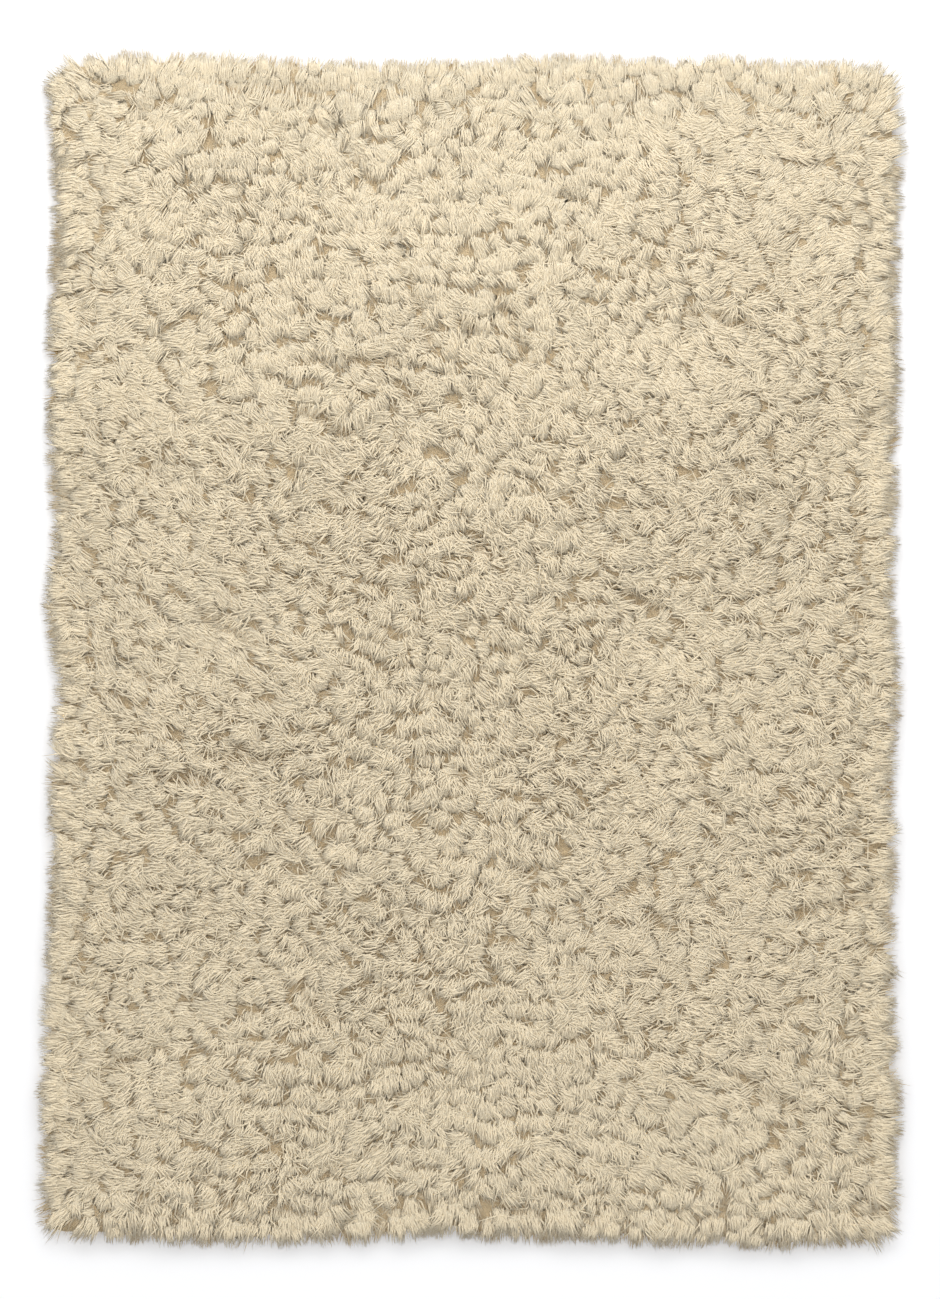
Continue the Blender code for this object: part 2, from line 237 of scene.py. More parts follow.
def lie_of_pile(x, y, chance):
    """Headings of the tips: the nearest entry of the table to a place shaken by about half a cell.

    Shaking it moves whole clumps and single locks alike, so neighbouring lies mingle along a ragged
    border. From 165 mm to 55 mm in from the outline more and more locks point the short way out.
    """
    stations = sorted(LIE_HEADINGS, key=lambda row: row["y"])
    headings = np.radians(np.array([row["heading"] for row in stations], float))
    column = (x - LIE_ACROSS[0]) / (LIE_ACROSS[1] - LIE_ACROSS[0])
    row = (y - stations[0]["y"]) / (stations[1]["y"] - stations[0]["y"])
    clump_shake, lock_shake = 0.55, 0.25
    clump_column = clump_shake * soft_noise(x, y, size=LIE_CLUMP_SIZE, seed=31)
    clump_row = clump_shake * soft_noise(x, y, size=LIE_CLUMP_SIZE, seed=32)
    column += clump_column + lock_shake * chance.standard_normal(x.shape)
    row += clump_row + lock_shake * chance.standard_normal(x.shape)
    c = np.clip(np.rint(column), 0, len(LIE_ACROSS) - 1).astype(int)
    r = np.clip(np.rint(row), 0, len(stations) - 1).astype(int)
    heading = headings[r, c]
    out_x, out_y = outward(x, y)
    rim = np.clip((0.165 - depth_inside(x, y)) / 0.110, 0.0, 1.0)
    turned = chance.uniform(0, 1, x.shape) + 0.3 * soft_noise(x, y, size=0.04, seed=33) < rim
    return np.where(turned, np.arctan2(out_y, out_x), heading)


def parting_depth(x, y):
    """How far the partings lower the pile: each is a groove with a bell-shaped section."""
    depth = np.zeros_like(x)
    for row in PARTINGS:
        groove = dict(zip(PARTING_COLUMNS, row))
        run_x, run_y = groove["x1"] - groove["x0"], groove["y1"] - groove["y0"]
        along = ((x - groove["x0"]) * run_x + (y - groove["y0"]) * run_y) / (run_x**2 + run_y**2)
        along = np.clip(along, 0.0, 1.0)
        away = np.hypot(x - groove["x0"] - along * run_x, y - groove["y0"] - along * run_y)
        depth = np.maximum(depth, groove["depth"] * np.exp(-((away / PARTING_WIDTH) ** 2)))
    return depth


def ruffle(x, y):
    """How ruffled the pile is, near 1 on average: soft noise over an arch along the rug's length.

    The arch is 1 less the square of the distance from its crest over its span, so the pile is most
    ruffled a little towards -Y from the middle, and smoothest at the +Y end.
    """
    crest_y, span = -0.25, 0.80
    arch = 1.0 - ((y - crest_y) / span) ** 2
    return 0.94 + 0.28 * soft_noise(x, y, size=0.16, seed=12) + 0.32 * arch


def pile_top(x, y):
    """Height of the leaning pile: a quarter round in from the outline, with swells and partings."""
    inside = np.clip(depth_inside(x, y) / RIM_FALL_WIDTH, 0.0, 1.0)
    rounded = np.sqrt(1.0 - (1.0 - inside) ** 2)
    relief = SWELL_RISE * soft_noise(x, y, size=SWELL_SIZE, seed=5) - PARTING_CUT * parting_depth(x, y)
    return RIM_TIP_HEIGHT + (PILE_HEIGHT - RIM_TIP_HEIGHT) * rounded + relief * inside


# ---------------------------------------------------------------------------------------------------
# Meshes
# ---------------------------------------------------------------------------------------------------
def make_mesh(name, points, corners, face_sizes, uv, marks):
    """Put whole arrays into a mesh: points, each face's corners in turn, the map and marks on the points."""
    mesh = bpy.data.meshes.new(name)
    mesh.vertices.add(len(points))
    mesh.vertices.foreach_set("co", points.astype(np.float32).ravel())
    mesh.loops.add(len(corners))
    mesh.loops.foreach_set("vertex_index", corners.astype(np.int32))
    mesh.polygons.add(len(face_sizes))
    starts = np.concatenate(([0], np.cumsum(face_sizes)[:-1]))
    mesh.polygons.foreach_set("loop_start", starts.astype(np.int32))
    mesh.uv_layers.new(name="OFBake").data.foreach_set("uv", uv.astype(np.float32).ravel())
    for label, values in marks.items():
        mesh.attributes.new(label, "FLOAT", "POINT").data.foreach_set("value", values.astype(np.float32))
    mesh.update(calc_edges=True)
    mesh.shade_smooth()
    piece = bpy.data.objects.new(name, mesh)
    bpy.context.scene.collection.objects.link(piece)
    return piece


def lock_roots(pitch, chance, low, high):
    """Middles of the locks: staggered rows, shaken. Depth is measured in from the backing's edge, and
    locks are kept where it is between low and high."""
    triangle_height = 0.866
    rows = int(2 * HALF_LENGTH / (pitch * triangle_height)) + 2
    columns = int(2 * HALF_WIDTH / pitch) + 2
    row, column = np.mgrid[0:rows, 0:columns]
    x = (column - columns / 2 + 0.5 * (row % 2)) * pitch
    y = (row - rows / 2) * pitch * triangle_height
    x = (x + chance.uniform(-ROOT_SHAKE, ROOT_SHAKE, x.shape) * pitch).ravel()
    y = (y + chance.uniform(-ROOT_SHAKE, ROOT_SHAKE, y.shape) * pitch).ravel()
    depth = depth_inside(x, y, BACKING_INSET, BACKING_CORNER_RADIUS)
    keep = (depth > low) & (depth < high)
    return x[keep], y[keep]


def draw_into_rows(x, y):
    """Move roots towards the nearest of the wavy lines along which the locks stand in rows.

    The lines are where a wave number is whole: the distance square to the rows over their pitch, bent
    by soft noise. The rows run across the rug, and down to the right in the left part of its middle,
    a bell-shaped stretch. How strongly they draw varies over the rug, from 70 mm in from the outline.
    """
    across, along = (x + 0.35) / 0.42, (y - 0.20) / 0.45
    slanting = np.exp(-(across**2) - along**2)
    way = np.radians(90 - 34 * slanting)
    wave = (x * np.cos(way) + y * np.sin(way)) / ROW_PITCH
    wave = wave + 1.1 * soft_noise(x, y, size=0.130, seed=41) + 0.35 * soft_noise(x, y, size=0.050, seed=42)
    drawn = np.clip(0.60 + 0.60 * soft_noise(x, y, size=0.150, seed=43), 0.0, 0.90)
    drawn = drawn * np.clip((depth_inside(x, y) - 0.07) / 0.08, 0.0, 1.0)
    move = -(wave - np.round(wave)) * ROW_PITCH * drawn
    return x + move * np.cos(way), y + move * np.sin(way)


def comb_locks(x, y, chance, half_width=LOCK_HALF_WIDTH, rows=False):
    """What each lock of pile is like: its place, heading, reach, half width, crown, level, bend and shade.

    A heading is the pile's lie there, turned by soft noise in clumps and at random from lock to lock.
    Where the pile is ruffled the locks are shorter and slimmer, with deeper crowns and uneven levels.
    The mark "outer" goes from 0 to 1 between 115 mm and 60 mm in from the outline. Outer locks reach
    about 0.7 to 1.06 of the way to the outline, and some of them lie low.
    """
    reach_spread, width_spread, level_spread, lowest_outer = 0.24, 0.38, 0.050, 0.50
    number = len(x)
    depth = depth_inside(x, y)
    inner = np.clip((depth - 0.05) / 0.06, 0.6, 1.0)
    ruffled = ruffle(x, y)
    heading = lie_of_pile(x, y, chance)
    heading = heading + inner * np.radians(CLUMP_TURN) * soft_noise(x, y, size=0.050, seed=11)
    heading = heading + inner * np.radians(LOCK_TURN) * ruffled * chance.standard_normal(number)
    if rows:
        row_x, row_y = draw_into_rows(x, y)
        inside = depth_inside(row_x, row_y, BACKING_INSET, BACKING_CORNER_RADIUS) > -0.002
        x, y = np.where(inside, row_x, x), np.where(inside, row_y, y)
        depth = depth_inside(x, y)
    reach = LOCK_REACH * (1.06 - 0.20 * (ruffled - 1)) * (1 + reach_spread * chance.uniform(-1, 1, number))
    to_outline = way_to_outline(x, y, heading)
    outer = np.clip((0.115 - depth) / 0.055, 0.0, 1.0)
    rim_reach = np.minimum(to_outline, 0.085) * (1.06 - 0.36 * chance.uniform(0, 1, number) ** 1.5)
    uneven = level_spread * ruffled * chance.uniform(-1, 1, number)
    half_width = half_width * (1.10 - 0.25 * (ruffled - 1))
    half_width = half_width * (1 + width_spread * chance.uniform(-1, 1, number))
    level = LOCK_LEVEL + uneven + 0.05 * soft_noise(x, y, size=0.085, seed=13)
    level = level - lowest_outer * outer * chance.uniform(0, 1, number) ** 1.3
    return {
        "x": x, "y": y, "heading": heading, "outer": outer,
        "reach": np.minimum(reach * (1 - outer) + rim_reach * outer, 1.04 * to_outline),
        "half_width": half_width,
        "ruffled": ruffled, "crown": LOCK_CROWN * ruffled,
        "level": level,
        "bend": np.radians(LOCK_BEND) * chance.standard_normal(number),
        "fan": np.radians(LOCK_FAN + LOCK_FAN_SPREAD * chance.standard_normal(number)),
        "shade": chance.standard_normal(number),
    }


def join_locks(*groups):
    """Groups of locks as one group, in the same order."""
    return {key: np.concatenate([group[key] for group in groups]) for key in groups[0]}


def lay_lock(locks, owner, q, t, ahead=0.0, turn=0.0, curl=0.0, longer=1.0, higher=0.0):
    """Places on the crowned upper face of locks: q runs from one side (-1) to the other, t root to tip.

    Seen from above the line of one q starts beside the lock's middle line and splays with it, and near
    the rim the lines draw together instead. It rises as a quarter of a sine to the lock's level of the
    leaning pile, lower by the crown times q squared, and droops past the crest. A strand starts "ahead"
    of the root line, turns aside, curls, and is longer and higher than the lock's own line.
    """
    outer = locks["outer"][owner]
    heading = locks["heading"][owner]
    half_width = locks["half_width"][owner]
    way = heading + (locks["fan"][owner] * (1 - outer) - np.radians(4) * outer) * q + turn
    way = way + (locks["bend"][owner] + curl) * (1 - 0.6 * outer) * (t - 0.35)
    run = locks["reach"][owner] * (1 - 0.10 * q**2) * longer * t
    run = run + ahead * (1 - 0.3 * t) * (1 - 0.7 * outer)
    x = locks["x"][owner] - half_width * q * np.sin(heading) + run * np.cos(way)
    y = locks["y"][owner] + half_width * q * np.cos(heading) + run * np.sin(way)
    top = pile_top(x, y)
    rise = np.sin(np.minimum(t / LOCK_CREST, 1.0) * np.pi / 2)
    droop = LOCK_DROOP * np.clip((t - LOCK_CREST) / 0.58, 0.0, 1.2) ** 1.2
    level = locks["level"][owner] * (1 - locks["crown"][owner] * q**2) + higher
    z = ROOT_HEIGHT + (top * level - ROOT_HEIGHT) * rise - droop * top
    return np.stack([x, y, np.maximum(z, LOWEST_STRAND)], axis=-1)


def grow_strands(locks, chance):
    """Paths of the loose strands over all the locks, as an array of strand by station by (x, y, z).

    They lie side by side on their lock's upper face, a little past its sides, and draw together into
    bunches as the square of the station. Each is turned and bent its own way, strays most of all.
    """
    number = len(locks["x"])
    count = number * STRANDS_IN_LOCK
    owner = np.repeat(np.arange(number), STRANDS_IN_LOCK)
    place = np.tile(np.arange(STRANDS_IN_LOCK), number)
    side = 1.05
    q = (place + 0.5 + chance.uniform(-0.5, 0.5, count)) / STRANDS_IN_LOCK * (2 * side) - side
    bunches = BUNCHES_IN_LOCK / 2
    bunch = (np.round((q + 1) * bunches - 0.5) + 0.5) / bunches - 1
    stations = np.repeat(np.array(STRAND_STATIONS)[None, :], count, axis=0)
    stations[:, 1] += 0.10 * chance.uniform(-1, 1, count)
    q = q[:, None] + 0.6 * (bunch - q)[:, None] * stations**2
    stray = np.where(chance.uniform(0, 1, count) < STRAY_SHARE, 1.0, 0.3) * locks["ruffled"][owner]
    outer = locks["outer"][owner]
    longer = 1.02 + (0.14 - 0.10 * outer) * chance.uniform(-1, 1, count) + 0.05 * stray * (1 - outer)
    path = lay_lock(
        locks, owner[:, None], q, stations,
        ahead=(LOCK_HALF_DEPTH * chance.uniform(-1, 1, count))[:, None],
        turn=(stray * np.radians(STRAY_TURN) * chance.standard_normal(count))[:, None],
        curl=(stray * np.radians(STRAY_CURL) * chance.standard_normal(count))[:, None],
        longer=longer[:, None],
        higher=(0.01 + 0.016 * stray * chance.standard_normal(count).clip(-2, 2))[:, None],
    )
    shade = 0.6 * locks["shade"][owner] + 0.8 * chance.standard_normal(count)
    return path, shade


def thin_places(path):
    """Middles of the places over the backing that few strands cross, seen from above.

    Seven places on each strand, from its crest to its tip, are counted in squares of 11 mm. Few means
    under 0.34 of the middle count.
    """
    pitch = 0.011
    part = np.linspace(0.15, 1.0, 6)[None, :, None]
    seen = path[:, None, 1, :2] + (path[:, None, 2, :2] - path[:, None, 1, :2]) * part
    seen = np.concatenate([seen.reshape(-1, 2), path[:, 1, :2]])
    edges_x = np.arange(-0.79, 0.79, pitch)
    edges_y = np.arange(-1.08, 1.08, pitch)
    count = np.histogram2d(seen[:, 0], seen[:, 1], bins=(edges_x, edges_y))[0]
    x, y = np.meshgrid(edges_x[:-1] + pitch / 2, edges_y[:-1] + pitch / 2, indexing="ij")
    thin = (count < 0.34 * np.median(count[count > 0])) & (depth_inside(x, y) > 0.055)
    return x[thin], y[thin]


def spread_on_map(number, wide, margin, local):
    """Map of many alike shapes: each has its own cell, with local, its own map from 0 to 1, in a margin.

    The map has wide times as many columns of cells as rows.
    """
    columns = int(np.ceil(np.sqrt(number * wide)))
    rows = int(np.ceil(number / columns))
    cell = np.stack([np.arange(number) % columns, np.arange(number) // columns], axis=1).astype(float)
    place = cell[:, None, :] + margin + (1 - 2 * margin) * np.array(local)[None, :, :]
    return (place / np.array([columns, rows])).reshape(-1, 2)


def strand_piece(name, path, shade, middle_height, chance):
    """One mesh of many strands: a three-sided section on each path, drawn to a point at both ends.

    The section lies square to the path, with its side axis level: a point at angle a of it lies half
    the width times the cosine of a to the side, and half the thickness times the sine of a above.
    """
    count = len(path)
    tangent = path[:, 2] - path[:, 0]
    tangent /= np.linalg.norm(tangent, axis=1, keepdims=True) + 1e-12
    side = np.stack([-tangent[:, 1], tangent[:, 0], np.zeros(count)], axis=1)
    side /= np.linalg.norm(side, axis=1, keepdims=True) + 1e-12
    up = np.cross(tangent, side)
    angle = np.radians([90.0, 210.0, 330.0])[None, :] + chance.uniform(-0.4, 0.4, count)[:, None]
    size = 0.5 * (1 + 0.22 * chance.uniform(-1, 1, count))[:, None]
    across = size * STRAND_WIDTH * np.cos(angle)
    above = size * STRAND_THICKNESS * np.sin(angle)
    ring = path[:, 1:2] + across[..., None] * side[:, None] + above[..., None] * up[:, None]
    ring[..., 2] = np.maximum(ring[..., 2], LOWEST_FACE)
    points = np.concatenate([path[:, :1], ring, path[:, 2:]], axis=1).reshape(-1, 3)

    faces = np.array([[0, 2, 1], [0, 3, 2], [0, 1, 3], [1, 2, 4], [2, 3, 4], [3, 1, 4]])
    corners = (faces.ravel()[None, :] + 5 * np.arange(count)[:, None]).ravel()
    wide = STRAND_STATIONS[1]
    local = []
    for s in range(3):
        local += [[(s + 0.5) / 3, 0.0], [(s + 0.92) / 3, wide], [(s + 0.08) / 3, wide]]
    for s in range(3):
        local += [[(s + 0.08) / 3, wide], [(s + 0.92) / 3, wide], [(s + 0.5) / 3, 1.0]]
    uv = spread_on_map(count, 2.0, 0.06, local)
    # The mark for the painted shade: darker and browner where the strand lies low in the pile.
    marks = {"painted_shade_risen": painted_shade_risen(points, middle_height), "shade": np.repeat(shade, 5)}
    return make_mesh(name, points, corners, np.full(6 * count, 3), uv, marks)


def core_piece(locks, middle_height):
    """One mesh of the locks' soft cores, which fill the pile under the loose strands.

    A five-sided section, four points on its crowned upper face and one under it, is carried along each
    lock and drawn to a point at both ends. The core lies deeper where the pile is ruffled.
    """
    number = len(locks["x"])
    across = np.array([1.0, 0.38, -0.38, -1.0, 0.0])
    sides, rings = len(across), len(CORE_WIDTHS)
    per = rings * sides + 2
    t = np.concatenate([CORE_STATIONS[:1], np.repeat(CORE_STATIONS[1:-1], sides), CORE_STATIONS[-1:]])
    q = np.concatenate([[0.0], (np.array(CORE_WIDTHS)[:, None] * across).ravel(), [0.0]])
    under = np.array([0.0] + [0.0, 0.0, 0.0, 0.0, 1.0] * rings + [1.0])
    lower = (under * CORE_THICKNESS)[None, :] + CORE_DEPTH * locks["ruffled"][:, None] ** 2
    owner = np.arange(number)[:, None]
    points = lay_lock(locks, owner, q[None, :], t[None, :], longer=1.0 - 0.16 * locks["outer"][:, None])
    # The points under the core come down to 0.6 mm from the floor, and those on its upper face to 1.8 mm.
    lowest = 0.0006 + 0.0012 * (1 - under)
    points[..., 2] = np.maximum(points[..., 2] - lower, lowest)
    faces, local = [], []
    v = (t - t[0]) / (t[-1] - t[0])
    for s in range(sides):
        n = (s + 1) % sides
        left, middle, right = (s + 0.04) / sides, (s + 0.5) / sides, (s + 0.96) / sides
        faces.append([0, 1 + n, 1 + s])
        local += [[middle, 0.0], [right, v[1 + n]], [left, v[1 + s]]]
        for k in range(rings - 1):
            low, high = 1 + k * sides, 1 + (k + 1) * sides
            faces.append([low + s, low + n, high + n, high + s])
            local += [[left, v[low]], [right, v[low]], [right, v[high]], [left, v[high]]]
        last = 1 + (rings - 1) * sides
        faces.append([last + s, last + n, per - 1])
        local += [[left, v[last]], [right, v[last]], [middle, 1.0]]
    sizes = np.array([len(face) for face in faces])
    flat = np.concatenate([np.array(face) for face in faces])
    corners = (flat[None, :] + per * np.arange(number)[:, None]).ravel()
    uv = spread_on_map(number, 1.5, 0.03, local)
    points = points.reshape(-1, 3)
    # The mark for the painted shade, lifted a little for the cores.
    marks = {"painted_shade_risen": painted_shade_risen(points, middle_height) + CORE_RISEN, "shade": np.repeat(locks["shade"], per)}
    return make_mesh("pile_cores", points, corners, np.tile(sizes, number), uv, marks)


def laid_sheet(name, inset, radius, cells, low, height_of):
    """A closed sheet in the rug's outline, drawn in by inset: an upper face of squares and a flat back.

    A square grid -1..1 is scaled to the outline, and its corners are rounded by moving each point in
    towards the middle by 1.2 of its distance outside. height_of gives the upper face's height at x and
    y, at least 2 mm over the back. A wall joins the two all round.
    """
    nx, ny = cells[0] + 1, cells[1] + 1
    u, v = np.meshgrid(np.linspace(-1, 1, nx), np.linspace(-1, 1, ny), indexing="ij")
    x = u * (reach_of(SIDE_REACH, v * HALF_LENGTH, u > 0) - inset)
    y = v * (reach_of(END_REACH, u * HALF_WIDTH, v > 0) - inset)
    outside = np.minimum(depth_inside(x, y, inset, radius), 0.0)
    length = np.hypot(x, y) + 1e-9
    x, y = x + outside * x / length * 1.2, y + outside * y / length * 1.2
    upper = np.stack([x, y, np.maximum(height_of(x, y), low + 0.002)], axis=2).reshape(-1, 3)
    index = np.arange(nx * ny).reshape(nx, ny)
    quads = np.stack([index[:-1, :-1], index[1:, :-1], index[1:, 1:], index[:-1, 1:]], axis=2).reshape(-1, 4)
    rim = np.concatenate([index[:-1, 0], index[-1, :-1], index[:0:-1, -1], index[0, :0:-1]])
    under = upper[rim] * np.array([1, 1, 0]) + np.array([0, 0, low])
    below = nx * ny + np.arange(len(rim))
    wall = np.stack([rim, below, np.roll(below, -1), np.roll(rim, -1)], axis=1)
    points = np.concatenate([upper, under])
    corners = np.concatenate([quads.ravel(), wall.ravel(), below[::-1]])
    sizes = np.concatenate([np.full(len(quads) + len(wall), 4), [len(rim)]])
    plan = points[corners][:, :2]
    uv = np.stack([plan[:, 0] / (4 * HALF_WIDTH) + 0.25, plan[:, 1] / (2.2 * HALF_LENGTH) + 0.5], axis=1)
    uv[-len(rim):, 0] += 0.5
    # Painted shade: the points of the upper face take part of it, and those round the back all of it.
    sheet_painted_shade_risen = np.concatenate([np.full(nx * ny, SHEET_RISEN), np.zeros(len(rim))])
    marks = {"painted_shade_risen": sheet_painted_shade_risen, "shade": np.zeros(len(points))}
    return make_mesh(name, points, corners, sizes, uv, marks)


def bed_height(x, y):
    """The bed's packed yarn thins evenly towards its edge, with soft lumps over it."""
    inside = depth_inside(x, y, BACKING_INSET, BACKING_CORNER_RADIUS) / BED_EDGE_WIDTH
    fall = BED_EDGE_FALL * (1 - np.clip(inside, 0.0, 1.0))
    return BED_HEIGHT - fall + BED_LUMP * soft_noise(x, y, size=0.026, seed=21)


def middle_height_of(path):
    """Give a function of x and y for the middle height of the strands near there.

    Six places on each strand, from its crest almost to its tip, are gathered in squares of 8 mm, and
    averaged with the squares around, weights 1 2 1 both ways. Where strands are few, the height is
    pulled towards MAT_PART of the pile's. Between the squares' middles it changes evenly.
    """
    pitch, x0, y0 = 0.008, -0.80, -1.10
    columns, rows = 200, 275
    edges_x, edges_y = x0 + pitch * np.arange(columns + 1), y0 + pitch * np.arange(rows + 1)
    part = np.linspace(0.0, 0.94, 6)[None, :, None]
    seen = (path[:, None, 1] + (path[:, None, 2] - path[:, None, 1]) * part).reshape(-1, 3)

    def gather(weights):
        """The weights' sum in each square, or the number of places, averaged with the squares around."""
        total = np.histogram2d(seen[:, 0], seen[:, 1], bins=(edges_x, edges_y), weights=weights)[0]
        for axis in (0, 1):
            total = (np.roll(total, 1, axis) + 2 * total + np.roll(total, -1, axis)) / 4
        return total

    count, heights = gather(None), gather(seen[:, 2])
    few = 0.15 * np.median(count[count > 0.5])
    centre_x, centre_y = np.meshgrid(edges_x[:-1] + pitch / 2, edges_y[:-1] + pitch / 2, indexing="ij")
    height = (heights + few * MAT_PART * pile_top(centre_x, centre_y)) / (count + few)

    def middle_height(x, y):
        """Straight between the middles of the four squares around each place."""
        column, row = (x - x0) / pitch - 0.5, (y - y0) / pitch - 0.5
        c, r = np.floor(column).astype(int), np.floor(row).astype(int)
        f, g = column - c, row - r
        low = height[c, r] * (1 - f) + height[c + 1, r] * f
        high = height[c, r + 1] * (1 - f) + height[c + 1, r + 1] * f
        return low * (1 - g) + high * g

    return middle_height


def painted_shade_risen(points, middle_height):
    """How far points stand up out of the pile, 0 to 1: 0.5 at the strands' middle height, and 0 and 1
    half of RISEN_SPAN under and over it. The lower the mark, the more painted shade the yarn's colour takes."""
    return np.clip(0.5 + (points[:, 2] - middle_height(points[:, 0], points[:, 1])) / RISEN_SPAN, 0.0, 1.0)


# ---------------------------------------------------------------------------------------------------
# Finishes
# ---------------------------------------------------------------------------------------------------
def link(tree, source, target):
    """Lead one node's output to another's input."""
    tree.links.new(source, target)


def math_node(tree, operation, first, second):
    """One step of arithmetic on two values, each of them a number or another node's output."""
    node = tree.nodes.new("ShaderNodeMath")
    node.operation = operation
    for k, value in enumerate((first, second)):
        if isinstance(value, (int, float)):
            node.inputs[k].default_value = value
        else:
            link(tree, value, node.inputs[k])
    return node.outputs[0]


def attribute(tree, label):
    """A mark on the points of the mesh, read by its label."""
    node = tree.nodes.new("ShaderNodeAttribute")
    node.attribute_name = label
    return node.outputs["Fac"]


# Painted shade: the darker, browner colour that yarn is given deep in the pile, where shade falls.
DEEP_PAINTED_SHADE = (0.56, 0.38, 0.15, 1)
TOP_YARN = (0.908, 0.812, 0.624, 1)
BACK_BETWEEN = (0.42, 0.34, 0.23, 1)
BACK_THREAD = (0.62, 0.54, 0.40, 1)
DULL = {"Roughness": 0.9, "Specular IOR Level": 0.10}
SOFT_SHEEN = {"Sheen Weight": 0.06, "Sheen Tint": (1.0, 0.93, 0.80, 1), "Sheen Roughness": 0.5}
STUDIO_FLOOR = {
    "Base Color": (0.965, 0.97, 0.985, 1), "Roughness": 1.0, "Specular IOR Level": 0.0,
    "Emission Color": (1.0, 1.0, 1.0, 1), "Emission Strength": 0.09,
}


def fibre_group():
    """Fine matted fibres: short curly ridges of a given size. Puts out a height from 0 to 1."""
    group = bpy.data.node_groups.new("fine_fibres", "ShaderNodeTree")
    group.interface.new_socket("Curl Size", in_out="INPUT", socket_type="NodeSocketFloat")
    group.interface.new_socket("Position", in_out="INPUT", socket_type="NodeSocketVector")
    group.interface.new_socket("Height", in_out="OUTPUT", socket_type="NodeSocketFloat")
    given = group.nodes.new("NodeGroupInput").outputs
    curls = group.nodes.new("ShaderNodeTexNoise")
    curls.inputs["Detail"].default_value = 2.0
    curls.inputs["Distortion"].default_value = 2.6
    link(group, math_node(group, "DIVIDE", 1.0, given["Curl Size"]), curls.inputs["Scale"])
    link(group, given["Position"], curls.inputs["Vector"])
    spread = group.nodes.new("ShaderNodeMapRange")
    spread.inputs["From Min"].default_value = 0.32
    spread.inputs["From Max"].default_value = 0.68
    link(group, curls.outputs["Fac"], spread.inputs["Value"])
    link(group, spread.outputs["Result"], group.nodes.new("NodeGroupOutput").inputs["Height"])
    return group


def colour_ramp(tree, low, low_colour, high, high_colour):
    """A blend from one colour at the value low to another at the value high."""
    ramp = tree.nodes.new("ShaderNodeValToRGB")
    ends = ramp.color_ramp.elements
    ends[0].position, ends[0].color = low, low_colour
    ends[1].position, ends[1].color = high, high_colour
    return ramp


def tone_and_painted_shade_group():
    """Colour of the yarn: painted shade, darker and browner deep in the pile; each strand a little lighter
    or darker; faint patches.

    The ramp from the painted shade to the cream top is scaled by 0.965 plus small parts of the shade, the
    patches and the streak.
    """
    group = bpy.data.node_groups.new("yarn_tone_and_painted_shade", "ShaderNodeTree")
    for label in ("Painted Shade Risen", "Shade", "Streak"):
        group.interface.new_socket(label, in_out="INPUT", socket_type="NodeSocketFloat")
    group.interface.new_socket("Position", in_out="INPUT", socket_type="NodeSocketVector")
    group.interface.new_socket("Colour", in_out="OUTPUT", socket_type="NodeSocketColor")
    given = group.nodes.new("NodeGroupInput").outputs
    # Painted shade: from the darker, browner colour deep in the pile to the cream of the yarn's top.
    ramp = colour_ramp(group, 0.10, DEEP_PAINTED_SHADE, 0.52, TOP_YARN)
    link(group, given["Painted Shade Risen"], ramp.inputs["Fac"])
    patches = group.nodes.new("ShaderNodeTexNoise")
    patches.inputs["Scale"].default_value = 9.0
    patches.inputs["Detail"].default_value = 1.0
    link(group, given["Position"], patches.inputs["Vector"])
    shade = math_node(group, "MULTIPLY", given["Shade"], 0.012)
    patch = math_node(group, "MULTIPLY", patches.outputs["Fac"], 0.07)
    streak = math_node(group, "MULTIPLY", given["Streak"], 0.10)
    varied = math_node(group, "ADD", shade, patch)
    light = math_node(group, "ADD", varied, math_node(group, "ADD", streak, 0.965))
    tint = group.nodes.new("ShaderNodeVectorMath")
    tint.operation = "SCALE"
    link(group, ramp.outputs["Color"], tint.inputs[0])
    link(group, light, tint.inputs["Scale"])
    link(group, tint.outputs[0], group.nodes.new("NodeGroupOutput").inputs["Colour"])
    return group


def add_group(tree, group, values=(), links=()):
    """One node of a group in a material, with its numbers set and its inputs linked."""
    node = tree.nodes.new("ShaderNodeGroup")
    node.node_tree = group
    for label, value in dict(values).items():
        node.inputs[label].default_value = value
    for label, source in dict(links).items():
        link(tree, source, node.inputs[label])
    return node


def plain_material(name, looks):
    """A material with its shader's inputs set. Gives the material, its nodes' tree and the shader."""
    material = bpy.data.materials.new(name)
    material.use_nodes = True
    shader = material.node_tree.nodes["Principled BSDF"]
    for label, value in looks.items():
        shader.inputs[label].default_value = value
    return material, material.node_tree, shader


def yarn_material(name, tone_and_painted_shade, fibres=None):
    """Cream cut pile. Where the yarn is matted and its strands aren't built, fine fibres stand on it."""
    material, tree, shader = plain_material(name, DULL | SOFT_SHEEN | {"Diffuse Roughness": 1.0})
    position = tree.nodes.new("ShaderNodeTexCoord").outputs["Object"]
    # The mark of how far the yarn stands up paints shade into its colour, darker and browner deep down.
    links = {"Painted Shade Risen": attribute(tree, "painted_shade_risen"), "Shade": attribute(tree, "shade"), "Position": position}
    if fibres:
        curls = add_group(tree, fibres, {"Curl Size": 0.006}, {"Position": position})
        bump = tree.nodes.new("ShaderNodeBump")
        bump.inputs["Strength"].default_value = 0.9
        bump.inputs["Distance"].default_value = 0.003
        link(tree, curls.outputs["Height"], bump.inputs["Height"])
        link(tree, bump.outputs["Normal"], shader.inputs["Normal"])
        links["Streak"] = curls.outputs["Height"]
    colour = add_group(tree, tone_and_painted_shade, {}, links)
    link(tree, colour.outputs["Colour"], shader.inputs["Base Color"])
    return material


